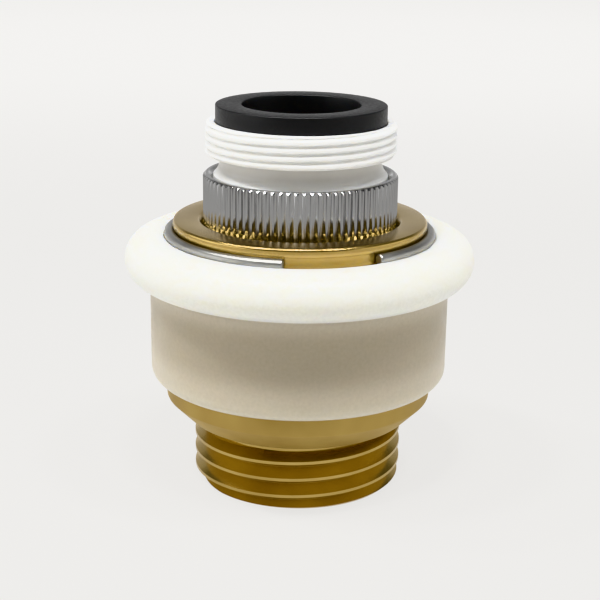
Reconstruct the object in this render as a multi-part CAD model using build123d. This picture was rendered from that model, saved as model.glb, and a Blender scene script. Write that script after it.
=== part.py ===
from build123d import *
import os
from math import atan, cos, radians, sin, sqrt, tan

# Quick-release tap coupling standing on its hose end, in millimetres.
# Z is the axis and points up to the tap. The origin is the centre of the hose end's face.
# The front of the coupling faces -Y. Threads are modelled as their major-diameter cylinders.

# Threads: male 3/4 inch hose, male 15/16-27 tap, and one a step smaller between adapter and nipple
HOSE_THREAD_D = 26.8
HOSE_THREAD_DEPTH = 1.4
HOSE_THREAD_LENGTH = 7.3
FAUCET_THREAD_D = 23.8
FAUCET_THREAD_LENGTH = 4.0
CUP_THREAD_STEP = 1.0
CUP_THREAD_LENGTH = 3.2
THREAD_CHAMFER = 0.35
THREAD_CLEARANCE = 0.05

# Coupler body
HOSE_BORE_D = 17.0
HOSE_END_CHAMFER = 0.7
HOSE_RELIEF_WIDTH = 1.4
BODY_LENGTH = 5.9
BODY_CHAMFER = 2.6
LIP_HEIGHT = 1.05
LIP_ROUND = 0.5
MOUTH_GAP = 0.6

# Snap nipple: knurled cup above, grooved spigot below
CUP_WALL = 1.25
CUP_HEIGHT = 5.75
CUP_DEPTH = 5.3
CUP_RIM_CHAMFER = 0.55
KNURL_RIBS = 80
KNURL_DEPTH = 0.3
KNURL_FLUTE_WIDTH = 0.6
KNURL_END_CHAMFER = 0.3
KNURL_STEP = 0.4
NIPPLE_BORE_D = 15.0
NOSE_LENGTH = 1.6
NOSE_CHAMFER = 0.8
SHOULDER_CLEARANCE = 0.1
SOCKET_CLEARANCE = 0.1
NOSE_CLEARANCE = 0.2

# Aerator adapter
ADAPTER_BORE_D = 14.0
NECK_LENGTH = 2.6
NECK_DEPTH = 0.6
NECK_TOP_STEP = 0.35

# Rubber seals
WASHER_HOLE_D = 14.8
FAUCET_WASHER_THICKNESS = 3.1
FAUCET_WASHER_RECESS = 1.0
FAUCET_WASHER_RIM = 1.15
CUP_WASHER_THICKNESS = 2.0
CUP_WASHER_CLEARANCE = 0.2
WASHER_CLEARANCE = 0.1
SEAL_WIDTH = 1.8
SEAL_CLEARANCE = 0.05
SEAL_SIDE_CLEARANCE = 0.2
SEAL_SPACING = 1.0

# Locking balls
BALL_D = 5.0
BALL_COUNT = 6
BALL_ENGAGEMENT = 0.8
BALL_STANDOUT = 0.1
BALL_CLEARANCE = 0.06
BALL_GROOVE_CLEARANCE = 0.1
BALL_CONTACT_ANGLE = 40.0
BALL_RAMP_CLEARANCE = 0.08
POCKET_CONE_ANGLE = 80.0

# Release collar
COLLAR_TRAVEL = 3.4
COLLAR_CLEARANCE = 0.15
COLLAR_LAND = 1.0
COLLAR_LIP = 1.6
COLLAR_RELIEF_CLEARANCE = 0.2
COLLAR_WALL = 1.7
COLLAR_FOOT_ROUND = 1.6
SKIRT_CLEARANCE = 0.25
SKIRT_OVERLAP = 0.95
FLANGE_REACH = 3.1
FLANGE_THICKNESS = 5.8

# Collar spring, coiled from flat wire
SPRING_LENGTH = 8.6
SPRING_WIRE_WIDTH = 0.9
SPRING_WIRE_THICKNESS = 0.7
SPRING_TURNS = 3.5
SPRING_CLEARANCE = 0.1
SPRING_END_CLEARANCE = 0.05

# Retaining ring, an open ring of round wire with its gap to the right of the front
RING_WIRE_D = 1.4
RING_GROOVE_DEPTH = 0.35
RING_CLEARANCE = 0.05
RING_RECESS = 0.6
RING_RECESS_CLEARANCE = 0.1
RING_GAP_ANGLE = 41.0
RING_GAP_AT = -76.0

# Radii from the tap thread down to the adapter's lower thread, and from there outwards
faucet_thread_r = FAUCET_THREAD_D / 2
cup_thread_r = faucet_thread_r - CUP_THREAD_STEP
cup_bore_r = cup_thread_r + THREAD_CLEARANCE
knurl_r = cup_bore_r + CUP_WALL
spigot_r = knurl_r - KNURL_STEP
socket_r = spigot_r + SOCKET_CLEARANCE
mouth_r = knurl_r + MOUTH_GAP
ball_r = BALL_D / 2
ball_row_r = socket_r - BALL_ENGAGEMENT + ball_r
barrel_r = ball_row_r + ball_r - BALL_STANDOUT
spring_r = barrel_r + SPRING_CLEARANCE + SPRING_WIRE_WIDTH / 2
body_r = barrel_r + SPRING_CLEARANCE + SPRING_WIRE_WIDTH
land_r = barrel_r + COLLAR_CLEARANCE
collar_bore_r = body_r + SKIRT_CLEARANCE
collar_r = collar_bore_r + COLLAR_WALL
flange_r = collar_r + FLANGE_REACH
ring_wire_r = RING_WIRE_D / 2
ring_groove_r = barrel_r - RING_GROOVE_DEPTH
ring_r = ring_groove_r + RING_CLEARANCE + ring_wire_r
ring_recess_r = ring_r + ring_wire_r + RING_RECESS_CLEARANCE
hose_r = HOSE_THREAD_D / 2
hose_bore_r = HOSE_BORE_D / 2
nipple_bore_r = NIPPLE_BORE_D / 2
faucet_recess_r = faucet_thread_r - FAUCET_WASHER_RIM
seal_inner_r = spigot_r + SEAL_CLEARANCE
seal_outer_r = seal_inner_r + SEAL_WIDTH

# The ramp lets the balls out by their whole engagement over the collar's travel
ramp_angle = atan(BALL_ENGAGEMENT / COLLAR_TRAVEL)
ramp_r_at_ball = ball_row_r + (ball_r + BALL_RAMP_CLEARANCE) / cos(ramp_angle)
relief_r = ramp_r_at_ball + BALL_ENGAGEMENT
released_ball_r = ball_row_r + BALL_ENGAGEMENT
released_ball_height = sqrt(ball_r**2 - (land_r - released_ball_r) ** 2)

# Heights from the hose end up
shoulder_z = HOSE_THREAD_LENGTH + HOSE_RELIEF_WIDTH
spring_seat_z = shoulder_z + BODY_LENGTH
collar_bottom_z = spring_seat_z - SKIRT_OVERLAP
land_bottom_z = spring_seat_z + SPRING_LENGTH
ramp_bottom_z = land_bottom_z + COLLAR_LAND
ball_row_z = ramp_bottom_z + (ramp_r_at_ball - land_r) / tan(ramp_angle)
ramp_top_z = ball_row_z + COLLAR_TRAVEL
relief_top_z = ramp_top_z + released_ball_height + COLLAR_RELIEF_CLEARANCE
ring_seat_z = relief_top_z + COLLAR_LIP
collar_top_z = ring_seat_z + RING_RECESS
ring_z = ring_seat_z + RING_CLEARANCE + ring_wire_r
ring_groove_bottom_z = ring_z - ring_wire_r - RING_CLEARANCE
ring_groove_top_z = ring_z + ring_wire_r + RING_CLEARANCE
body_top_z = ring_groove_top_z + LIP_HEIGHT
socket_top_z = body_top_z - (mouth_r - socket_r)
seal_top_z = ball_row_z - ball_r - SEAL_SPACING
seal_bottom_z = seal_top_z - SEAL_WIDTH
nose_z = seal_bottom_z - NOSE_LENGTH
socket_floor_z = nose_z - NOSE_CLEARANCE
knurl_bottom_z = socket_top_z + knurl_r - socket_r + SHOULDER_CLEARANCE / cos(radians(45))
cup_rim_z = body_top_z + CUP_HEIGHT
cup_floor_z = cup_rim_z - CUP_DEPTH
adapter_bottom_z = cup_floor_z + CUP_WASHER_THICKNESS
neck_bottom_z = adapter_bottom_z + CUP_THREAD_LENGTH
neck_top_z = neck_bottom_z + NECK_LENGTH
adapter_top_z = neck_top_z + FAUCET_THREAD_LENGTH
faucet_recess_z = adapter_top_z - FAUCET_WASHER_RECESS


def turned(*outline):
    """Solid turned about Z from a closed outline of (radius, height) corners."""
    with BuildSketch(Plane.XZ) as section:
        with BuildLine():
            Polyline(*outline, close=True)
        make_face()
    return revolve(section.sketch, Axis.Z)


def turned_ring(inner_r, outer_r, bottom_z, top_z):
    """Plain ring of rectangular section."""
    return turned((inner_r, bottom_z), (outer_r, bottom_z), (outer_r, top_z), (inner_r, top_z))


def around_axis(shape, count):
    """Copies of a shape at equal angles about Z, the first turned by half a step from +X."""
    step = 360 / count
    return [Rot(0, 0, step * (i + 0.5)) * shape for i in range(count)]


def ball_pocket():
    """Radial drill form whose cone stops the ball before it falls into the socket."""
    half_angle = radians(POCKET_CONE_ANGLE / 2)
    pocket_r = ball_r + BALL_CLEARANCE
    apex_x = ball_row_r - pocket_r / sin(half_angle)
    cylinder_x = apex_x + pocket_r / tan(half_angle)
    outside_x = body_r
    with BuildSketch(Plane.XY) as section:
        with BuildLine():
            Polyline((apex_x, 0), (cylinder_x, pocket_r), (outside_x, pocket_r), (outside_x, 0), close=True)
        make_face()
    return Pos(0, 0, ball_row_z) * revolve(section.sketch, Axis.X)


def coupler_body():
    """Brass body: hose thread, guide for the collar's skirt, and the barrel that cages the balls."""
    relief_bottom_r = hose_r - HOSE_THREAD_DEPTH
    seal_groove_r = seal_outer_r + SEAL_CLEARANCE
    body = turned(
        (hose_bore_r, 0),
        (hose_r - HOSE_END_CHAMFER, 0),
        (hose_r, HOSE_END_CHAMFER),
        (hose_r, HOSE_THREAD_LENGTH),
        (relief_bottom_r, HOSE_THREAD_LENGTH),
        (relief_bottom_r, shoulder_z),
        (body_r - BODY_CHAMFER, shoulder_z),
        (body_r, shoulder_z + BODY_CHAMFER),
        (body_r, spring_seat_z),
        (barrel_r, spring_seat_z),
        (barrel_r, ring_groove_bottom_z),
        (ring_groove_r, ring_groove_bottom_z),
        (ring_groove_r, ring_groove_top_z),
        (barrel_r, ring_groove_top_z),
        (barrel_r, body_top_z),
        (mouth_r, body_top_z),
        (socket_r, socket_top_z),
        (socket_r, seal_top_z + SEAL_SIDE_CLEARANCE),
        (seal_groove_r, seal_top_z + SEAL_SIDE_CLEARANCE),
        (seal_groove_r, seal_bottom_z),
        (socket_r, seal_bottom_z),
        (socket_r, socket_floor_z),
        (hose_bore_r, socket_floor_z),
    )
    top_edges = body.edges().filter_by_position(Axis.Z, body_top_z, body_top_z)
    body = fillet(top_edges.sort_by(SortBy.RADIUS)[-1], LIP_ROUND)
    return body - around_axis(ball_pocket(), BALL_COUNT)


def groove_half_height(radius):
    """Half the height of the nipple's ball groove at a radius, with flanks tangent to the ball's clearance."""
    contact = radians(BALL_CONTACT_ANGLE)
    return (ball_r + BALL_GROOVE_CLEARANCE - (ball_row_r - radius) * cos(contact)) / sin(contact)


def snap_nipple():
    """Chrome-plated cup with a straight knurl, and the spigot with its ball groove."""
    groove_root_r = ball_row_r - ball_r - BALL_GROOVE_CLEARANCE
    knurl_top_z = cup_rim_z - KNURL_END_CHAMFER
    nipple = turned(
        (nipple_bore_r, nose_z),
        (spigot_r - NOSE_CHAMFER, nose_z),
        (spigot_r, nose_z + NOSE_CHAMFER),
        (spigot_r, ball_row_z - groove_half_height(spigot_r)),
        (groove_root_r, ball_row_z - groove_half_height(groove_root_r)),
        (groove_root_r, ball_row_z + groove_half_height(groove_root_r)),
        (spigot_r, ball_row_z + groove_half_height(spigot_r)),
        (spigot_r, knurl_bottom_z - KNURL_STEP),
        (knurl_r, knurl_bottom_z),
        (knurl_r, knurl_top_z),
        (knurl_r - KNURL_END_CHAMFER, cup_rim_z),
        (cup_bore_r + CUP_RIM_CHAMFER, cup_rim_z),
        (cup_bore_r, cup_rim_z - CUP_RIM_CHAMFER),
        (cup_bore_r, cup_floor_z),
        (nipple_bore_r, cup_floor_z),
    )
    flutes_z = knurl_bottom_z - KNURL_STEP
    outer_width = 2 * KNURL_FLUTE_WIDTH
    with BuildSketch(Plane.XY.offset(flutes_z)) as flutes:
        with PolarLocations(knurl_r, KNURL_RIBS):
            Polygon((-KNURL_DEPTH, 0), (KNURL_DEPTH, -outer_width / 2), (KNURL_DEPTH, outer_width / 2), align=None)
    return nipple - extrude(flutes.sketch, cup_rim_z - flutes_z)


def aerator_adapter():
    """White plastic bushing: lower thread in the cup, waisted neck, upper thread and washer recess."""
    bore_r = ADAPTER_BORE_D / 2
    neck_mid_z = (neck_bottom_z + neck_top_z) / 2
    neck_top = (cup_thread_r - NECK_TOP_STEP, neck_top_z)
    with BuildSketch(Plane.XZ) as section:
        with BuildLine():
            Polyline(
                (bore_r, adapter_bottom_z),
                (cup_thread_r - THREAD_CHAMFER, adapter_bottom_z),
                (cup_thread_r, adapter_bottom_z + THREAD_CHAMFER),
                (cup_thread_r, neck_bottom_z),
            )
            ThreePointArc((cup_thread_r, neck_bottom_z), (cup_thread_r - NECK_DEPTH, neck_mid_z), neck_top)
            Polyline(
                neck_top,
                (faucet_thread_r - THREAD_CHAMFER, neck_top_z),
                (faucet_thread_r, neck_top_z + THREAD_CHAMFER),
                (faucet_thread_r, adapter_top_z - THREAD_CHAMFER),
                (faucet_thread_r - THREAD_CHAMFER, adapter_top_z),
                (faucet_recess_r, adapter_top_z),
                (faucet_recess_r, faucet_recess_z),
                (bore_r, faucet_recess_z),
                (bore_r, adapter_bottom_z),
            )
        make_face()
    return revolve(section.sketch, Axis.Z)


def faucet_washer():
    outer_r = faucet_recess_r - WASHER_CLEARANCE
    return turned_ring(WASHER_HOLE_D / 2, outer_r, faucet_recess_z, faucet_recess_z + FAUCET_WASHER_THICKNESS)


def cup_washer():
    outer_r = cup_bore_r - CUP_WASHER_CLEARANCE
    return turned_ring(WASHER_HOLE_D / 2, outer_r, cup_floor_z, adapter_bottom_z)


def socket_seal():
    """Square-section rubber ring in the socket, round the spigot below the balls."""
    return turned_ring(seal_inner_r, seal_outer_r, seal_bottom_z, seal_top_z)


def release_collar():
    """White nylon collar: bull-nosed pull flange, skirt, and the ramp that holds or frees the balls."""
    height = collar_top_z - collar_bottom_z
    skirt = Pos(0, 0, collar_bottom_z) * Cylinder(collar_r, height, align=(Align.CENTER, Align.CENTER, Align.MIN))
    skirt = fillet(skirt.edges().sort_by(Axis.Z)[0], COLLAR_FOOT_ROUND)
    nose_r = FLANGE_THICKNESS / 2
    flange_z = collar_top_z - nose_r
    bar = Pos((flange_r - nose_r) / 2, flange_z) * Rectangle(flange_r - nose_r, FLANGE_THICKNESS)
    nose = Pos(flange_r - nose_r, flange_z) * Circle(nose_r)
    blank = skirt + revolve(Plane.XZ * (bar + nose), Axis.Z)
    inside = turned(
        (0, collar_bottom_z),
        (collar_bore_r, collar_bottom_z),
        (collar_bore_r, land_bottom_z),
        (land_r, land_bottom_z),
        (land_r, ramp_bottom_z),
        (relief_r, ramp_top_z),
        (relief_r, relief_top_z),
        (land_r, relief_top_z),
        (land_r, ring_seat_z),
        (ring_recess_r, ring_seat_z),
        (ring_recess_r, collar_top_z),
        (0, collar_top_z),
    )
    return blank - inside


def collar_spring():
    """Flat-wire coil between the body's seat and the underside of the collar's land."""
    end = SPRING_WIRE_THICKNESS / 2 + SPRING_END_CLEARANCE
    rise = SPRING_LENGTH - 2 * end
    coil = Helix(rise / SPRING_TURNS, rise, spring_r, center=(0, 0, spring_seat_z + end))
    wire = Plane(origin=coil @ 0, x_dir=(1, 0, 0), z_dir=coil % 0)
    wire_section = wire * Rectangle(SPRING_WIRE_WIDTH, SPRING_WIRE_THICKNESS)
    return sweep(wire_section, path=coil, is_frenet=True)


def retaining_ring():
    """Open ring of round wire that stops the collar at the top of the barrel."""
    wire = Plane.XZ * Pos(ring_r, ring_z) * Circle(ring_wire_r)
    ring = revolve(wire, Axis.Z, 360 - RING_GAP_ANGLE)
    return Rot(0, 0, RING_GAP_AT + RING_GAP_ANGLE / 2) * ring


def locking_balls():
    """Steel balls in the body's pockets, seated in the nipple's groove."""
    ball = Pos(ball_row_r, 0, ball_row_z) * Sphere(ball_r)
    return around_axis(ball, BALL_COUNT)


pieces = {
    "faucet_washer": faucet_washer(),
    "aerator_adapter": aerator_adapter(),
    "cup_washer": cup_washer(),
    "snap_nipple": snap_nipple(),
    "socket_seal": socket_seal(),
    "retaining_ring": retaining_ring(),
    "release_collar": release_collar(),
    "collar_spring": collar_spring(),
    "coupler_body": coupler_body(),
}
for number, ball in enumerate(locking_balls(), start=1):
    pieces[f"locking_ball_{number}"] = ball

os.makedirs("parts", exist_ok=True)
for name, piece in pieces.items():
    export_step(piece, f"parts/{name}.step")
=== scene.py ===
from math import cos, hypot, pi, radians, sin, tan

import bmesh
import bpy
from mathutils import Matrix, Vector


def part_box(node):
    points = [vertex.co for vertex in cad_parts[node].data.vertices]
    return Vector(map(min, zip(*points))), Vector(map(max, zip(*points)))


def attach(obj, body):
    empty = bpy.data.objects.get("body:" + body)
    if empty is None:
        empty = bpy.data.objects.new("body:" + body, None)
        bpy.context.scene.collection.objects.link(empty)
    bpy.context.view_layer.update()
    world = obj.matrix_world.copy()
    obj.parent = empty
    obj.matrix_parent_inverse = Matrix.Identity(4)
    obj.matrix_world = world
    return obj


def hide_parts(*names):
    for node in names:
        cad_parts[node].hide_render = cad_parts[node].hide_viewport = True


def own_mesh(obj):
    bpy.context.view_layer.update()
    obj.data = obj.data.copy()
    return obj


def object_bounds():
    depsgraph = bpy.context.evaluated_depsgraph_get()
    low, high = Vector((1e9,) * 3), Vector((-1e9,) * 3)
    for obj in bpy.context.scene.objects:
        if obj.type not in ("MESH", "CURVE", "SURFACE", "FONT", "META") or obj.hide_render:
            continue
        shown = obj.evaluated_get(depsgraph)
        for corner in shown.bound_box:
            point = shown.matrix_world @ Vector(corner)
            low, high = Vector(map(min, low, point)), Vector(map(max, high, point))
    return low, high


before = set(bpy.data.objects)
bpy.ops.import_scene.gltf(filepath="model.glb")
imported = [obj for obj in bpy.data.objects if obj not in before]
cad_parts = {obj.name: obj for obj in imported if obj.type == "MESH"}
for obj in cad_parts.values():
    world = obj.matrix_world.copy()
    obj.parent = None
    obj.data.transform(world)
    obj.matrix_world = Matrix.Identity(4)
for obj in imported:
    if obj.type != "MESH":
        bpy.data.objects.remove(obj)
cad_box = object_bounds()

# Quick-release tap coupling standing on its hose end, in metres. Z is the axis, and the front faces -Y.
MM = 0.001
FULL_TURN = 2 * pi

# Places and sizes read from the frame
body_low, body_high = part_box("coupler_body")
collar_low, collar_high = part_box("release_collar")
nipple_low, nipple_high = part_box("snap_nipple")
adapter_low, adapter_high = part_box("aerator_adapter")
washer_low, washer_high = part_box("faucet_washer")
cup_washer_low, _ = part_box("cup_washer")
seal_low, seal_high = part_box("socket_seal")
ring_low, ring_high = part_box("retaining_ring")
spring_low, spring_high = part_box("collar_spring")
ball_low, ball_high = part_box("locking_ball_2")
ball_r = (ball_high.z - ball_low.z) / 2
ball_row_r = (ball_low.y + ball_high.y) / 2
ball_row_z = (ball_low.z + ball_high.z) / 2

# Hose thread and coupler body
HOSE_R = 13.4 * MM
HOSE_PITCH = 2.209 * MM
HOSE_CREST_Z = 1.9 * MM
HOSE_CREST_FLAT = 0.4 * MM
HOSE_GROOVE_DEPTH = 1.55 * MM
HOSE_THREAD_LENGTH = 7.3 * MM
HOSE_RELIEF_R = 11.95 * MM
HOSE_RELIEF_WIDTH = 1.4 * MM
HOSE_BORE_R = 8.5 * MM
HOSE_END_CHAMFER = 0.7 * MM
BODY_CHAMFER = 2.6 * MM
SPRING_SEAT_Z = 14.6 * MM
BARREL_R = 16.0 * MM
LIP_ROUND = 0.35 * MM
RING_GROOVE_DEPTH = 0.35 * MM
RING_CLEARANCE = 0.05 * MM
MOUTH_R = 12.8 * MM
MOUTH_ANGLE = radians(45)
SOCKET_R = 11.9 * MM
SEAL_SIDE_CLEARANCE = 0.2 * MM
SEAL_CLEARANCE = 0.05 * MM
NOSE_CLEARANCE = 0.2 * MM
BALL_CLEARANCE = 0.06 * MM
BALL_COUNT = 6
POCKET_CONE_ANGLE = radians(80)
POCKET_STEPS = 64
BRASS_EDGE = 0.12 * MM

# Snap nipple
KNURL_R = 12.2 * MM
KNURL_STEP = 0.4 * MM
KNURL_SEAT_CLEARANCE = 0.1 * MM
KNURL_RIBS = 80
KNURL_COLUMNS = 10
KNURL_DEPTH = 0.3 * MM
KNURL_END_CHAMFER = 0.3 * MM
KNURL_END_ROUND = 0.075 * MM
SPIGOT_R = 11.8 * MM
NIPPLE_BORE_R = 7.5 * MM
NOSE_CHAMFER = 0.8 * MM
CUP_BORE_R = 10.95 * MM
CUP_RIM_CHAMFER = 0.55 * MM
BALL_GROOVE_CLEARANCE = 0.1 * MM
BALL_CONTACT_ANGLE = radians(40)

# Aerator adapter
TAP_R = 11.9 * MM
TAP_PITCH = 0.941 * MM
TAP_CREST_Z = 43.82 * MM
TAP_CREST_FLAT = 0.3 * MM
TAP_GROOVE_DEPTH = 0.45 * MM
TAP_THREAD_LENGTH = 4.0 * MM
CUP_THREAD_R = 10.9 * MM
CUP_THREAD_LENGTH = 3.2 * MM
ADAPTER_BORE_R = 7.0 * MM
THREAD_CHAMFER = 0.35 * MM
NECK_WAIST_R = 9.95 * MM
NECK_WAIST_RISE = 0.85 * MM
NECK_TOP_R = 10.05 * MM
WASHER_RIM = 1.15 * MM
PLASTIC_EDGE = 0.1 * MM

# Release collar
COLLAR_R = 18.95 * MM
COLLAR_BORE_R = 17.25 * MM
COLLAR_FOOT_ROUND = 1.6 * MM
COLLAR_LAND_R = 16.15 * MM
COLLAR_LAND_BOTTOM_Z = 23.2 * MM
COLLAR_LAND_HEIGHT = 1.0 * MM
COLLAR_TRAVEL = 3.4 * MM
COLLAR_RELIEF_R = 17.05 * MM
COLLAR_RELIEF_TOP_Z = 30.01 * MM
RING_RECESS_R = 17.2 * MM
RING_RECESS_DEPTH = 0.6 * MM
FLANGE_THICKNESS = 5.8 * MM
FLANGE_THROAT = 0.55 * MM
NOSE_START_DEGREES = -78
COLLAR_EDGE = 0.2 * MM

# Washers, ring and spring
WASHER_HOLE_R = 7.4 * MM
WASHER_EDGE = 0.16 * MM
RING_GAP_ANGLE = radians(41)
RING_GAP_AT = radians(-76)
RING_END_ROUND = 0.22 * MM
SPRING_WIRE_WIDTH = 0.9 * MM
SPRING_WIRE_THICKNESS = 0.7 * MM
SPRING_TURNS = 3.5

# Threads, seen from the start of their cut on the right: the front is three quarters of a turn on
THREAD_FLANK = radians(30)
TURNS_TO_FRONT = 0.75

# Fineness of the turned pieces
TURNED_STEPS = 256
THREAD_STEPS = 144
ROUND_STEPS = 10
NOSE_STEPS = 28
WIRE_SIDES = 24
EDGE_SEGMENTS = 3
ROUND_SEGMENTS = 4
SMOOTH_ANGLE = radians(35)
KNURL_SMOOTH_ANGLE = radians(30)
SAME_PLACE = 0.004 * MM
MERGE = 0.0005 * MM


# Modelling steps shared by the pieces


def deselect_all():
    """Leaves edit mode with nothing selected."""
    if bpy.context.mode != "OBJECT":
        bpy.ops.object.mode_set(mode="OBJECT")
    bpy.ops.object.select_all(action="DESELECT")


def pick(piece):
    """Makes one piece the only one that operators act on."""
    deselect_all()
    piece.select_set(True)
    bpy.context.view_layer.objects.active = piece


def arc(centre, radius, start, end, steps):
    """Points of a round stretch of an outline, from one angle to another, in degrees."""
    turns = [radians(start + (end - start) * i / steps) for i in range(steps + 1)]
    return [(centre[0] + radius * cos(t), centre[1] + radius * sin(t)) for t in turns]


def swept_corner(first, corner, last, steps):
    """Points of a soft corner that leaves one point and reaches another along the lines to a corner."""
    points = []
    for i in range(steps + 1):
        t = i / steps
        weights = ((1 - t) ** 2, 2 * t * (1 - t), t * t)
        points.append(tuple(sum(w * p[k] for w, p in zip(weights, (first, corner, last))) for k in (0, 1)))
    return points


def draw_outline(name, outline):
    """A closed outline of (radius, height) points in the XZ plane, extruded from its first point."""
    deselect_all()
    bpy.ops.mesh.primitive_plane_add(size=MM)
    piece = bpy.context.object
    piece.name = name
    piece.data.name = name
    bpy.ops.object.mode_set(mode="EDIT")
    bpy.ops.mesh.select_mode(type="VERT")
    bpy.ops.mesh.select_all(action="SELECT")
    bpy.ops.mesh.merge(type="CENTER")
    bpy.ops.transform.translate(value=(outline[0][0], 0, outline[0][1]))
    for here, there in zip(outline, outline[1:] + outline[:1]):
        step = (there[0] - here[0], 0, there[1] - here[1])
        bpy.ops.mesh.extrude_region_move(TRANSFORM_OT_translate={"value": step})
    bpy.ops.mesh.select_all(action="SELECT")
    bpy.ops.mesh.remove_doubles(threshold=MERGE)
    return piece


def close_up():
    """Merges the doubles of the piece in edit mode and turns its faces outwards."""
    bpy.ops.mesh.select_all(action="SELECT")
    bpy.ops.mesh.remove_doubles(threshold=MERGE)
    bpy.ops.mesh.select_all(action="SELECT")
    bpy.ops.mesh.normals_make_consistent(inside=False)


def turned(name, outline, steps=TURNED_STEPS):
    """A piece turned about Z from an outline, left in edit mode."""
    piece = draw_outline(name, outline)
    bpy.ops.mesh.select_all(action="SELECT")
    bpy.ops.mesh.spin(steps=steps, angle=FULL_TURN, center=(0, 0, 0), axis=(0, 0, 1))
    close_up()
    return piece


def soften_rings(piece, places, width, segments=EDGE_SEGMENTS):
    """Bevels the edge rings that lie at (radius, height) places of a turned piece in edit mode."""
    bpy.ops.mesh.select_mode(type="EDGE")
    bpy.ops.mesh.select_all(action="DESELECT")
    mesh = bmesh.from_edit_mesh(piece.data)

    def place_of(point):
        for number, (radius, height) in enumerate(places):
            if abs(hypot(point.x, point.y) - radius) < SAME_PLACE and abs(point.z - height) < SAME_PLACE:
                return number
        return None

    for edge in mesh.edges:
        ends = [place_of(v.co) for v in edge.verts]
        edge.select_set(ends[0] is not None and ends[0] == ends[1])
    bmesh.update_edit_mesh(piece.data)
    bpy.ops.mesh.bevel(offset=width, segments=segments, profile=0.5, affect="EDGES", clamp_overlap=True)


def screw_up(piece, rise, turns):
    """Sweeps the outline of a piece in edit mode along a right-hand helix about Z and closes its ends."""
    bpy.ops.object.mode_set(mode="OBJECT")
    bpy.ops.object.modifier_add(type="SCREW")
    screw = piece.modifiers[-1]
    screw.axis = "Z"
    screw.angle = FULL_TURN * turns
    screw.screw_offset = rise
    screw.steps = round(THREAD_STEPS * turns)
    screw.render_steps = screw.steps
    bpy.ops.object.modifier_apply(modifier=screw.name)
    bpy.ops.object.mode_set(mode="EDIT")
    bpy.ops.mesh.select_all(action="SELECT")
    bpy.ops.mesh.fill_holes(sides=0)
    close_up()


def combine(piece, other, operation):
    """Joins another solid to a piece with UNION, or takes it out with DIFFERENCE, and removes the other."""
    pick(piece)
    bpy.ops.object.modifier_add(type="BOOLEAN")
    step = piece.modifiers[-1]
    step.operation = operation
    step.solver = "EXACT"
    step.object = other
    bpy.ops.object.modifier_apply(modifier=step.name)
    bpy.data.objects.remove(other)


def cut_thread(piece, radius, depth, pitch, crest_flat, front_crest_z, low_z, high_z):
    """Cuts a right-hand 60 degree thread past both heights, with a crest at a given height at the front."""
    groove_half = (pitch - crest_flat) / 2
    root_half = groove_half - depth * tan(THREAD_FLANK)
    front_groove_z = front_crest_z + pitch / 2
    start_z = front_groove_z - TURNS_TO_FRONT * pitch
    while start_z > low_z - pitch:
        start_z -= pitch
    turns = int((high_z - start_z) / pitch) + 2
    outside = radius + depth / 2
    groove = [
        (radius - depth, -root_half),
        (radius - depth, root_half),
        (radius, groove_half),
        (outside, groove_half),
        (outside, -groove_half),
        (radius, -groove_half),
    ]
    cutter = draw_outline("thread_cutter", [(r, start_z + z) for r, z in groove])
    screw_up(cutter, pitch * turns, turns)
    combine(piece, cutter, "DIFFERENCE")


def finish_piece(piece, body, node, finish, smooth_angle=SMOOTH_ANGLE):
    """Smooths a piece, gives it its finish, and sets it on its body in place of its CAD node."""
    pick(piece)
    bpy.ops.object.shade_smooth_by_angle(angle=smooth_angle)
    piece.data.materials.clear()
    piece.data.materials.append(finish)
    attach(piece, body)
    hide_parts(node)


# Pieces


def make_coupler_body(finish):
    """Brass body: hose thread below, guide for the collar's skirt, and the barrel that cages the balls."""
    top = body_high.z
    body_r = body_high.x
    shoulder_z = HOSE_THREAD_LENGTH + HOSE_RELIEF_WIDTH
    groove_r = BARREL_R - RING_GROOVE_DEPTH
    groove_bottom = ring_low.z - RING_CLEARANCE
    groove_top = ring_high.z + RING_CLEARANCE
    seal_groove_r = seal_high.x + SEAL_CLEARANCE
    seal_top = seal_high.z + SEAL_SIDE_CLEARANCE
    floor_z = nipple_low.z - NOSE_CLEARANCE
    outline = [
        (HOSE_BORE_R, HOSE_THREAD_LENGTH),
        (HOSE_RELIEF_R, HOSE_THREAD_LENGTH),
        (HOSE_RELIEF_R, shoulder_z),
        (body_r - BODY_CHAMFER, shoulder_z),
        (body_r, shoulder_z + BODY_CHAMFER),
        (body_r, SPRING_SEAT_Z),
        (BARREL_R, SPRING_SEAT_Z),
        (BARREL_R, groove_bottom),
        (groove_r, groove_bottom),
        (groove_r, groove_top),
        (BARREL_R, groove_top),
        (BARREL_R, top),
        (MOUTH_R, top),
        (SOCKET_R, top - (MOUTH_R - SOCKET_R)),
        (SOCKET_R, seal_top),
        (seal_groove_r, seal_top),
        (seal_groove_r, seal_low.z),
        (SOCKET_R, seal_low.z),
        (SOCKET_R, floor_z),
        (HOSE_BORE_R, floor_z),
    ]
    body = turned("coupler_body_turned", outline)
    soften_rings(body, [(BARREL_R, top)], LIP_ROUND, ROUND_SEGMENTS)
    soft_edges = [
        (body_r, shoulder_z + BODY_CHAMFER),
        (body_r, SPRING_SEAT_Z),
        (BARREL_R, groove_top),
        (MOUTH_R, top),
    ]
    soften_rings(body, soft_edges, BRASS_EDGE)
    combine(body, make_hose_end(), "UNION")
    combine(body, make_ball_drills(), "DIFFERENCE")
    finish_piece(body, "coupler", "coupler_body", finish)


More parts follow.
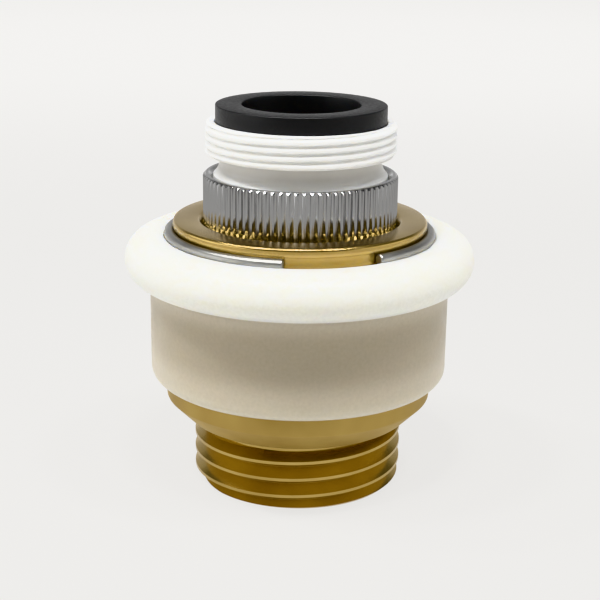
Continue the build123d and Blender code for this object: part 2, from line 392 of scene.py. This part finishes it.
def make_hose_end():
    """Male hose thread, up to the relief under the body."""
    outline = [
        (HOSE_BORE_R, 0),
        (HOSE_R - HOSE_END_CHAMFER, 0),
        (HOSE_R, HOSE_END_CHAMFER),
        (HOSE_R, HOSE_THREAD_LENGTH),
        (HOSE_BORE_R, HOSE_THREAD_LENGTH),
    ]
    hose_end = turned("hose_end", outline)
    soften_rings(hose_end, [(HOSE_BORE_R, 0)], BRASS_EDGE)
    cut_thread(
        hose_end, HOSE_R, HOSE_GROOVE_DEPTH, HOSE_PITCH, HOSE_CREST_FLAT, HOSE_CREST_Z,
        low_z=0, high_z=HOSE_THREAD_LENGTH,
    )
    return hose_end


def make_ball_drills():
    """Drill forms for the radial ball pockets, coned so that a ball can't fall into the socket."""
    pocket_r = ball_r + BALL_CLEARANCE
    apex_x = ball_row_r - pocket_r / sin(POCKET_CONE_ANGLE / 2)
    cylinder_x = apex_x + pocket_r / tan(POCKET_CONE_ANGLE / 2)
    outline = [
        (apex_x, ball_row_z),
        (cylinder_x, ball_row_z + pocket_r),
        (body_high.x, ball_row_z + pocket_r),
        (body_high.x, ball_row_z),
    ]
    drill = draw_outline("ball_drill", outline)
    bpy.ops.mesh.spin(steps=POCKET_STEPS, angle=FULL_TURN, center=(0, 0, ball_row_z), axis=(1, 0, 0))
    close_up()
    drills = []
    for number in range(BALL_COUNT):
        pick(drill)
        bpy.ops.object.duplicate()
        copy = bpy.context.object
        copy.rotation_euler.z = FULL_TURN * (number + 0.5) / BALL_COUNT
        bpy.ops.object.transform_apply(location=False, rotation=True, scale=False)
        drills.append(copy)
    bpy.data.objects.remove(drill)
    pick(drills[0])
    for other in drills[1:]:
        other.select_set(True)
    bpy.ops.object.join()
    return drills[0]


def make_snap_nipple(finish):
    """Chrome-plated cup with a straight knurl, and the spigot with its ball groove."""
    nose_z = nipple_low.z
    rim_z = nipple_high.z
    floor_z = cup_washer_low.z
    socket_top = body_high.z - (MOUTH_R - SOCKET_R)
    knurl_bottom = socket_top + KNURL_R - SOCKET_R + KNURL_SEAT_CLEARANCE / cos(MOUTH_ANGLE)
    root_r = ball_row_r - ball_r - BALL_GROOVE_CLEARANCE

    def groove_half(radius):
        reach = ball_r + BALL_GROOVE_CLEARANCE - (ball_row_r - radius) * cos(BALL_CONTACT_ANGLE)
        return reach / sin(BALL_CONTACT_ANGLE)

    outline = [
        (NIPPLE_BORE_R, nose_z),
        (SPIGOT_R - NOSE_CHAMFER, nose_z),
        (SPIGOT_R, nose_z + NOSE_CHAMFER),
        (SPIGOT_R, ball_row_z - groove_half(SPIGOT_R)),
        (root_r, ball_row_z - groove_half(root_r)),
        (root_r, ball_row_z + groove_half(root_r)),
        (SPIGOT_R, ball_row_z + groove_half(SPIGOT_R)),
        (SPIGOT_R, knurl_bottom - KNURL_STEP),
        (KNURL_R, knurl_bottom),
        (KNURL_R, rim_z - KNURL_END_CHAMFER),
        (KNURL_R - KNURL_END_CHAMFER + KNURL_END_ROUND, rim_z - KNURL_END_ROUND),
        (KNURL_R - KNURL_END_CHAMFER - KNURL_END_ROUND / 2, rim_z),
        (CUP_BORE_R + CUP_RIM_CHAMFER, rim_z),
        (CUP_BORE_R, rim_z - CUP_RIM_CHAMFER),
        (CUP_BORE_R, floor_z),
        (NIPPLE_BORE_R, floor_z),
    ]
    nipple = turned("snap_nipple_knurled", outline, KNURL_RIBS * KNURL_COLUMNS)
    press_knurl(nipple)
    finish_piece(nipple, "nipple", "snap_nipple", finish, KNURL_SMOOTH_ANGLE)


def press_knurl(nipple):
    """Presses straight V flutes into the nipple in edit mode, column by column from root to crest."""
    flute_half = KNURL_COLUMNS // 2
    bpy.ops.mesh.select_mode(type="VERT")
    for column in range(flute_half):
        bpy.ops.mesh.select_all(action="DESELECT")
        mesh = bmesh.from_edit_mesh(nipple.data)
        for vertex in mesh.verts:
            across = Vector((vertex.co.x, vertex.co.y))
            turn = across.angle_signed(Vector((1, 0)))
            place = round(turn / FULL_TURN * KNURL_RIBS * KNURL_COLUMNS) % KNURL_COLUMNS
            on_knurl = abs(across.length - KNURL_R) < SAME_PLACE
            vertex.select_set(on_knurl and min(place, KNURL_COLUMNS - place) == column)
        bmesh.update_edit_mesh(nipple.data)
        depth = KNURL_DEPTH * (1 - column / flute_half)
        inward = (KNURL_R - depth) / KNURL_R
        bpy.ops.transform.resize(value=(inward, inward, 1), center_override=(0, 0, 0))


def make_aerator_adapter(finish):
    """White plastic bushing: lower thread in the cup, waisted neck, upper thread and washer recess."""
    bottom = adapter_low.z
    top = adapter_high.z
    neck_bottom = bottom + CUP_THREAD_LENGTH
    neck_top = top - TAP_THREAD_LENGTH
    neck_foot = (CUP_THREAD_R, neck_bottom)
    neck_head = (NECK_TOP_R, neck_top)
    waist = (NECK_WAIST_R, neck_bottom + NECK_WAIST_RISE)
    recess_r = TAP_R - WASHER_RIM
    outline = [
        (ADAPTER_BORE_R, bottom),
        (CUP_THREAD_R - THREAD_CHAMFER, bottom),
        (CUP_THREAD_R, bottom + THREAD_CHAMFER),
        *swept_corner(neck_foot, waist, neck_head, ROUND_STEPS),
        (TAP_R - THREAD_CHAMFER, neck_top),
        (TAP_R, neck_top + THREAD_CHAMFER),
        (TAP_R, top - THREAD_CHAMFER),
        (TAP_R - THREAD_CHAMFER, top),
        (recess_r, top),
        (recess_r, washer_low.z),
        (ADAPTER_BORE_R, washer_low.z),
    ]
    adapter = turned("aerator_adapter_threaded", outline)
    soften_rings(adapter, [neck_head, (TAP_R - THREAD_CHAMFER, top), (recess_r, top)], PLASTIC_EDGE)
    cut_thread(
        adapter, TAP_R, TAP_GROOVE_DEPTH, TAP_PITCH, TAP_CREST_FLAT, TAP_CREST_Z,
        low_z=neck_top, high_z=top,
    )
    finish_piece(adapter, "nipple", "aerator_adapter", finish)


def make_faucet_washer(finish):
    """Black rubber washer seated in the adapter's recess."""
    outer_r = washer_high.x
    corners = [
        (WASHER_HOLE_R, washer_low.z),
        (outer_r, washer_low.z),
        (outer_r, washer_high.z),
        (WASHER_HOLE_R, washer_high.z),
    ]
    washer = turned("faucet_washer_moulded", corners)
    soften_rings(washer, corners, WASHER_EDGE, ROUND_SEGMENTS)
    finish_piece(washer, "nipple", "faucet_washer", finish)


def make_release_collar(finish):
    """White nylon collar: bull-nosed pull flange, skirt, and the ramp that holds or frees the balls."""
    bottom = collar_low.z
    top = collar_high.z
    nose_r = FLANGE_THICKNESS / 2
    nose = (collar_high.x - nose_r, top - nose_r)
    throat = (COLLAR_R, top - FLANGE_THICKNESS)
    nose_points = arc(nose, nose_r, NOSE_START_DEGREES, 90, NOSE_STEPS)
    ramp_bottom = COLLAR_LAND_BOTTOM_Z + COLLAR_LAND_HEIGHT
    ramp_top = ball_row_z + COLLAR_TRAVEL
    seat_z = top - RING_RECESS_DEPTH
    foot = (COLLAR_R - COLLAR_FOOT_ROUND, bottom + COLLAR_FOOT_ROUND)
    outline = [
        (COLLAR_BORE_R, bottom),
        *arc(foot, COLLAR_FOOT_ROUND, -90, 0, ROUND_STEPS),
        *swept_corner((COLLAR_R, throat[1] - FLANGE_THROAT), throat, nose_points[0], ROUND_STEPS // 2),
        *nose_points[1:],
        (RING_RECESS_R, top),
        (RING_RECESS_R, seat_z),
        (COLLAR_LAND_R, seat_z),
        (COLLAR_LAND_R, COLLAR_RELIEF_TOP_Z),
        (COLLAR_RELIEF_R, COLLAR_RELIEF_TOP_Z),
        (COLLAR_RELIEF_R, ramp_top),
        (COLLAR_LAND_R, ramp_bottom),
        (COLLAR_LAND_R, COLLAR_LAND_BOTTOM_Z),
        (COLLAR_BORE_R, COLLAR_LAND_BOTTOM_Z),
    ]
    collar = turned("release_collar_moulded", outline)
    soften_rings(collar, [(RING_RECESS_R, top), (COLLAR_BORE_R, bottom)], COLLAR_EDGE)
    finish_piece(collar, "collar", "release_collar", finish)


def make_retaining_ring(finish):
    """Open ring of round steel wire, with its gap to the right of the front."""
    wire_r = (ring_high.z - ring_low.z) / 2
    ring_r = ring_high.x - wire_r
    ring_z = ring_low.z + wire_r
    start = RING_GAP_AT - RING_GAP_ANGLE / 2
    deselect_all()
    bpy.ops.mesh.primitive_circle_add(
        vertices=WIRE_SIDES,
        radius=wire_r,
        location=(ring_r * cos(start), ring_r * sin(start), ring_z),
        rotation=(pi / 2, 0, start),
    )
    ring = bpy.context.object
    ring.name = "retaining_ring_wire"
    bpy.ops.object.transform_apply(location=True, rotation=True, scale=True)
    bpy.ops.object.mode_set(mode="EDIT")
    bpy.ops.mesh.select_all(action="SELECT")
    bpy.ops.mesh.spin(
        steps=TURNED_STEPS, angle=FULL_TURN - RING_GAP_ANGLE, center=(0, 0, 0), axis=(0, 0, 1),
    )
    bpy.ops.mesh.select_all(action="SELECT")
    bpy.ops.mesh.fill_holes(sides=0)
    close_up()
    bpy.ops.mesh.select_mode(type="FACE")
    bpy.ops.mesh.select_all(action="DESELECT")
    mesh = bmesh.from_edit_mesh(ring.data)
    for face in mesh.faces:
        face.select_set(len(face.verts) == WIRE_SIDES)
    bmesh.update_edit_mesh(ring.data)
    bpy.ops.mesh.select_mode(type="EDGE")
    bpy.ops.mesh.bevel(
        offset=RING_END_ROUND, segments=ROUND_SEGMENTS, profile=0.5, affect="EDGES", clamp_overlap=True,
    )
    finish_piece(ring, "coupler", "retaining_ring", finish)


def make_collar_spring(finish):
    """Flat-wire coil between the body's seat and the collar, made at its length with the collar at rest."""
    half_width = SPRING_WIRE_WIDTH / 2
    half_thickness = SPRING_WIRE_THICKNESS / 2
    spring_r = spring_high.x - half_width
    bottom = spring_low.z + half_thickness
    rise = spring_high.z - spring_low.z - SPRING_WIRE_THICKNESS
    outline = [
        (spring_r - half_width, bottom - half_thickness),
        (spring_r + half_width, bottom - half_thickness),
        (spring_r + half_width, bottom + half_thickness),
        (spring_r - half_width, bottom + half_thickness),
    ]
    spring = draw_outline("collar_spring_coil", outline)
    screw_up(spring, rise, SPRING_TURNS)
    finish_piece(spring, "coupler", "collar_spring", finish)
    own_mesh(spring)


# Finishes that change with the height above the piece's lowest point. The neck's grey and the skirt's dark
# band are partly painted shade.
PLASTIC_SOLID = (0.9, 0.9, 0.885)
PLASTIC_THIN_WALL_AND_SHADE = (0.62, 0.6, 0.56)
# Painted shade on the neck under the thread's overhang, mixed with the grey of the thin wall over the bore
PLASTIC_WALL_AND_SHADE_BY_HEIGHT = [
    (3.2 * MM, PLASTIC_SOLID),
    (4.5 * MM, PLASTIC_THIN_WALL_AND_SHADE),
    (5.5 * MM, PLASTIC_THIN_WALL_AND_SHADE),
    (5.9 * MM, PLASTIC_SOLID),
]
NYLON_SOLID = (0.85, 0.85, 0.8)
NYLON_THIN_WALL_AND_SHADE = (0.5, 0.435, 0.325)
# Painted shade on the skirt under the flange, darkest in the middle and lighter towards the foot, over the
# warm tone of the thin wall
NYLON_WALL_AND_SHADE_BY_HEIGHT = [
    (0.0 * MM, (0.71, 0.65, 0.53)),
    (2.5 * MM, (0.64, 0.57, 0.45)),
    (6.0 * MM, NYLON_THIN_WALL_AND_SHADE),
    (10.0 * MM, NYLON_THIN_WALL_AND_SHADE),
    (12.4 * MM, (0.62, 0.555, 0.44)),
    (13.1 * MM, NYLON_SOLID),
]
BRASS_THREAD_ROUGHNESS = 0.24
BRASS_BODY_ROUGHNESS = 0.58
BRASS_BARREL_ROUGHNESS = 0.26
BRASS_ROUGHNESS_BY_HEIGHT = [
    (8.2 * MM, (BRASS_THREAD_ROUGHNESS,) * 3),
    (8.8 * MM, (BRASS_BODY_ROUGHNESS,) * 3),
    (14.0 * MM, (BRASS_BODY_ROUGHNESS,) * 3),
    (16.0 * MM, (BRASS_BARREL_ROUGHNESS,) * 3),
]

# Most of the noise lies between these values
NOISE_LOW = 0.3
NOISE_HIGH = 0.7


def new_finish(name, colour, roughness, metallic=0.0):
    """A material with its main shader values set, and its node tree to build on."""
    finish = bpy.data.materials.new(name)
    finish.use_nodes = True
    shader = finish.node_tree.nodes["Principled BSDF"]
    shader.inputs["Base Color"].default_value = (*colour, 1)
    shader.inputs["Roughness"].default_value = roughness
    shader.inputs["Metallic"].default_value = metallic
    return finish, finish.node_tree, shader


def add_node(tree, kind, **settings):
    """A new node, with its sockets and its own settings given by name."""
    node = tree.nodes.new(kind)
    for key, value in settings.items():
        if key in node.inputs:
            node.inputs[key].default_value = value
        else:
            setattr(node, key, value)
    return node


def turning_marks(tree, scale):
    """Noise that runs round the axis, as the tool leaves it on a turned face."""
    place = add_node(tree, "ShaderNodeTexCoord")
    split = add_node(tree, "ShaderNodeSeparateXYZ")
    flat = add_node(tree, "ShaderNodeCombineXYZ")
    reach = add_node(tree, "ShaderNodeVectorMath", operation="LENGTH")
    lathe = add_node(tree, "ShaderNodeCombineXYZ")
    noise = add_node(tree, "ShaderNodeTexNoise", Scale=scale, Detail=3.0)
    tree.links.new(place.outputs["Object"], split.inputs["Vector"])
    tree.links.new(split.outputs["X"], flat.inputs["X"])
    tree.links.new(split.outputs["Y"], flat.inputs["Y"])
    tree.links.new(flat.outputs["Vector"], reach.inputs[0])
    tree.links.new(reach.outputs["Value"], lathe.inputs["X"])
    tree.links.new(split.outputs["Z"], lathe.inputs["Z"])
    tree.links.new(lathe.outputs["Vector"], noise.inputs["Vector"])
    return noise


def grain(tree, scale, detail=2.0):
    """Even noise through the material."""
    place = add_node(tree, "ShaderNodeTexCoord")
    noise = add_node(tree, "ShaderNodeTexNoise", Scale=scale, Detail=detail)
    tree.links.new(place.outputs["Object"], noise.inputs["Vector"])
    return noise


def by_height(tree, low_z, high_z, stops):
    """Colour along Z, eased from stop to stop, where a stop is (height over the lowest point, colour)."""
    place = add_node(tree, "ShaderNodeTexCoord")
    split = add_node(tree, "ShaderNodeSeparateXYZ")
    height = add_node(tree, "ShaderNodeMapRange")
    height.inputs["From Min"].default_value = low_z
    height.inputs["From Max"].default_value = high_z
    ramp = add_node(tree, "ShaderNodeValToRGB")
    ramp.color_ramp.interpolation = "EASE"
    for number, (rise, colour) in enumerate(stops):
        elements = ramp.color_ramp.elements
        stop = elements[number] if number < 2 else elements.new(1.0)
        stop.position = rise / (high_z - low_z)
        stop.color = (*colour, 1)
    tree.links.new(place.outputs["Object"], split.inputs["Vector"])
    tree.links.new(split.outputs["Z"], height.inputs["Value"])
    tree.links.new(height.outputs["Result"], ramp.inputs["Fac"])
    return ramp


def vary(tree, noise, socket, low, high):
    """Feeds a socket with noise spread from one value to another."""
    spread = add_node(tree, "ShaderNodeMapRange")
    spread.inputs["From Min"].default_value = NOISE_LOW
    spread.inputs["From Max"].default_value = NOISE_HIGH
    spread.inputs["To Min"].default_value = low
    spread.inputs["To Max"].default_value = high
    tree.links.new(noise.outputs["Fac"], spread.inputs["Value"])
    tree.links.new(spread.outputs["Result"], socket)


def tint(tree, noise, socket, dark, light):
    """Feeds a colour socket with noise spread from one colour to another."""
    ramp = add_node(tree, "ShaderNodeValToRGB")
    ramp.color_ramp.elements[0].position = NOISE_LOW
    ramp.color_ramp.elements[0].color = (*dark, 1)
    ramp.color_ramp.elements[1].position = NOISE_HIGH
    ramp.color_ramp.elements[1].color = (*light, 1)
    tree.links.new(noise.outputs["Fac"], ramp.inputs["Fac"])
    tree.links.new(ramp.outputs["Color"], socket)


def shade_by_noise(tree, colour, noise, dark, socket):
    """Feeds a colour socket with a colour that noise dulls, in places down to a dark share of it."""
    blend = add_node(tree, "ShaderNodeMix", data_type="RGBA", blend_type="MULTIPLY")
    blend.inputs["Factor"].default_value = 1.0
    tree.links.new(colour.outputs["Color"], blend.inputs["A"])
    tint(tree, noise, blend.inputs["B"], dark, light=(1.0, 1.0, 1.0))
    tree.links.new(blend.outputs["Result"], socket)


def roughen(tree, noise, shader, height):
    """Raises fine relief of a given height from noise."""
    bump = add_node(tree, "ShaderNodeBump", Distance=height, Strength=1.0)
    tree.links.new(noise.outputs["Fac"], bump.inputs["Height"])
    tree.links.new(bump.outputs["Normal"], shader.inputs["Normal"])


def let_light_in(shader, weight, radius, scale):
    """Lets light into a milky plastic, deeper for red than for blue."""
    shader.inputs["Subsurface Weight"].default_value = weight
    shader.inputs["Subsurface Radius"].default_value = radius
    shader.inputs["Subsurface Scale"].default_value = scale


def make_brass():
    """Turned brass, brighter on the thread and the lip than on the tumbled body between them."""
    finish, tree, shader = new_finish(
        "turned_brass", colour=(0.47, 0.335, 0.115), roughness=0.27, metallic=1.0,
    )
    marks = turning_marks(tree, scale=9000)
    roughen(tree, marks, shader, height=0.00015 * MM)
    polish = by_height(tree, body_low.z, body_high.z, BRASS_ROUGHNESS_BY_HEIGHT)
    uneven = add_node(tree, "ShaderNodeMath", operation="ADD")
    vary(tree, marks, uneven.inputs[1], low=-0.015, high=0.015)
    tree.links.new(polish.outputs["Color"], uneven.inputs[0])
    tree.links.new(uneven.outputs["Value"], shader.inputs["Roughness"])
    stain = grain(tree, scale=160)
    tint(tree, stain, shader.inputs["Base Color"], dark=(0.43, 0.305, 0.115), light=(0.51, 0.375, 0.145))
    return finish


def make_chrome():
    """Chrome plate over the knurl, slightly hazy."""
    finish, tree, shader = new_finish(
        "plated_chrome", colour=(0.31, 0.31, 0.31), roughness=0.16, metallic=1.0,
    )
    haze = grain(tree, scale=900)
    vary(tree, haze, shader.inputs["Roughness"], low=0.12, high=0.22)
    roughen(tree, haze, shader, height=0.003 * MM)
    return finish


def make_nylon():
    """Milky nylon: white where it is solid, and darker and warmer on the skirt, partly from the thin wall
    over the spring and partly painted shade, darkest mid-skirt under the flange and lighter towards the
    foot.
    """
    finish, tree, shader = new_finish("satin_nylon", colour=NYLON_SOLID, roughness=0.38)
    # Colour by height: the skirt's darkening is partly painted shade under the flange
    depth = by_height(tree, collar_low.z, collar_high.z, NYLON_WALL_AND_SHADE_BY_HEIGHT)
    speckle = grain(tree, scale=2600, detail=3.0)
    shade_by_noise(tree, depth, speckle, dark=(0.93, 0.93, 0.92), socket=shader.inputs["Base Color"])
    vary(tree, grain(tree, scale=500), shader.inputs["Roughness"], low=0.32, high=0.44)
    roughen(tree, speckle, shader, height=0.006 * MM)
    let_light_in(shader, weight=0.85, radius=(1.0, 0.92, 0.7), scale=4.0 * MM)
    return finish


def make_white_plastic():
    """White moulded plastic, greyer on the neck, partly where the thin wall lets the dark bore show through
    and partly painted shade under the thread's overhang.
    """
    finish, tree, shader = new_finish("moulded_white_plastic", colour=PLASTIC_SOLID, roughness=0.34)
    # Colour by height: the neck's grey is partly painted shade under the thread
    depth = by_height(tree, adapter_low.z, adapter_high.z, PLASTIC_WALL_AND_SHADE_BY_HEIGHT)
    cloud = grain(tree, scale=420)
    shade_by_noise(tree, depth, cloud, dark=(0.95, 0.95, 0.94), socket=shader.inputs["Base Color"])
    vary(tree, cloud, shader.inputs["Roughness"], low=0.28, high=0.4)
    roughen(tree, grain(tree, scale=2200), shader, height=0.006 * MM)
    let_light_in(shader, weight=0.6, radius=(1.0, 0.95, 0.85), scale=1.2 * MM)
    return finish


def make_rubber():
    """Black rubber with a fine skin that catches the light at a flat angle."""
    finish, tree, shader = new_finish("black_rubber_skin", colour=(0.012, 0.012, 0.013), roughness=0.55)
    skin = grain(tree, scale=3000, detail=4.0)
    tint(tree, skin, shader.inputs["Base Color"], dark=(0.004, 0.004, 0.0045), light=(0.009, 0.009, 0.0095))
    vary(tree, skin, shader.inputs["Roughness"], low=0.38, high=0.52)
    roughen(tree, skin, shader, height=0.008 * MM)
    shader.inputs["Specular IOR Level"].default_value = 0.48
    return finish


def make_steel():
    """Drawn steel wire, dull grey."""
    finish, tree, shader = new_finish(
        "drawn_spring_steel", colour=(0.5, 0.5, 0.49), roughness=0.26, metallic=1.0,
    )
    marks = grain(tree, scale=1500)
    vary(tree, marks, shader.inputs["Roughness"], low=0.34, high=0.42)
    stain = grain(tree, scale=260)
    tint(tree, stain, shader.inputs["Base Color"], dark=(0.34, 0.335, 0.315), light=(0.4, 0.395, 0.375))
    roughen(tree, marks, shader, height=0.001 * MM)
    return finish


def make_ball_steel():
    """Polished steel of the locking balls."""
    finish, tree, shader = new_finish(
        "polished_ball_steel", colour=(0.62, 0.62, 0.63), roughness=0.1, metallic=1.0,
    )
    haze = grain(tree, scale=1200)
    vary(tree, haze, shader.inputs["Roughness"], low=0.07, high=0.14)
    return finish


rubber = make_rubber()
steel = make_steel()
ball_steel = make_ball_steel()

make_coupler_body(make_brass())
make_snap_nipple(make_chrome())
make_aerator_adapter(make_white_plastic())
make_faucet_washer(rubber)
make_release_collar(make_nylon())
make_retaining_ring(steel)
make_collar_spring(steel)

# Hidden pieces that keep their CAD form
kept_finishes = {"cup_washer": rubber, "socket_seal": rubber}
for number in range(1, BALL_COUNT + 1):
    kept_finishes[f"locking_ball_{number}"] = ball_steel
for name, finish in kept_finishes.items():
    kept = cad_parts[name].data.materials
    kept.clear()
    kept.append(finish)

# Studio: pale glowing floor, with soft light from above, behind and the sides, and none from the front
FLOOR_SIZE = 6.0
FLOOR_GLOW = 0.8
deselect_all()
bpy.ops.mesh.primitive_plane_add(size=FLOOR_SIZE)
floor = bpy.context.object
floor.name = "studio_floor"
floor_paper, _, floor_shader = new_finish("floor_paper", colour=(0.1, 0.099, 0.097), roughness=0.8)
floor_shader.inputs["Emission Color"].default_value = (1.0, 0.99, 0.97, 1)
floor_shader.inputs["Emission Strength"].default_value = FLOOR_GLOW
floor_shader.inputs["Specular IOR Level"].default_value = 0.0
floor.data.materials.append(floor_paper)

middle = Vector((0, 0, (cad_box[0].z + cad_box[1].z) / 2))


def add_softbox(name, place, size, power, aim=middle, spread=pi):
    """A soft rectangular light at a place, facing a point, and kept within a spread."""
    deselect_all()
    bpy.ops.object.light_add(type="AREA", location=place)
    lamp = bpy.context.object
    lamp.name = name
    lamp.data.shape = "RECTANGLE"
    lamp.data.size, lamp.data.size_y = size
    lamp.data.energy = power
    lamp.data.spread = spread
    lamp.rotation_euler = (Vector(aim) - Vector(place)).to_track_quat("-Z", "Y").to_euler()


OVERHEAD_SIZE = (0.06, 0.06)
SIDE_SIZE = (0.42, 0.12)
add_softbox("overhead_lamp_left", place=(-0.15, -0.09, 0.4), size=OVERHEAD_SIZE, power=0.9)
add_softbox("overhead_lamp_middle", place=(0, -0.12, 0.4), size=OVERHEAD_SIZE, power=0.9)
add_softbox("overhead_lamp_right", place=(0.14, -0.09, 0.4), size=OVERHEAD_SIZE, power=0.7)
add_softbox(
    "back_softbox", place=(0, 0.2, 0.5), size=(0.9, 0.3), power=9.0, aim=(0, 0.8, 0), spread=radians(110),
)
add_softbox("left_lamp", place=(-0.25, 0, 0.38), size=(0.03, 0.03), power=0.4)
add_softbox("rear_softbox", place=(0, 0.95, 0.3), size=(2.6, 0.5), power=1.8)
add_softbox("left_softbox", place=(-0.32, -0.06, 0.115), size=SIDE_SIZE, power=0.32)
add_softbox("right_softbox", place=(0.32, -0.06, 0.115), size=SIDE_SIZE, power=0.16)

# Pale at the floor's far edge and dim overhead, by the height of a direction one metre long
SKY_BY_HEIGHT = [
    (0.05, (0.78, 0.775, 0.765)),
    (0.2, (0.16, 0.16, 0.16)),
]
world = bpy.data.worlds.new("studio_air")
bpy.context.scene.world = world
world.use_nodes = True
sky = by_height(world.node_tree, 0, SKY_BY_HEIGHT[-1][0], SKY_BY_HEIGHT)
world.node_tree.links.new(sky.outputs["Color"], world.node_tree.nodes["Background"].inputs["Color"])
bpy.context.scene.view_settings.view_transform = "Khronos PBR Neutral"

# Camera at the photograph's place, looking down a little and tilted slightly
CAMERA_PLACE = (0.13 * MM, -171.1 * MM, 75.3 * MM)
CAMERA_PITCH = radians(16.92)
CAMERA_ROLL = radians(0.75)
CAMERA_LENS = 83.6
CAMERA_SENSOR = 36.0
CAMERA_NEAR = 0.01
deselect_all()
bpy.ops.object.camera_add(location=CAMERA_PLACE)
camera = bpy.context.object
pitch = Matrix.Rotation(pi / 2 - CAMERA_PITCH, 4, "X")
roll = Matrix.Rotation(CAMERA_ROLL, 4, "Z")
camera.rotation_euler = (pitch @ roll).to_euler()
camera.data.lens = CAMERA_LENS
camera.data.sensor_width = CAMERA_SENSOR
camera.data.clip_start = CAMERA_NEAR
bpy.context.scene.camera = camera
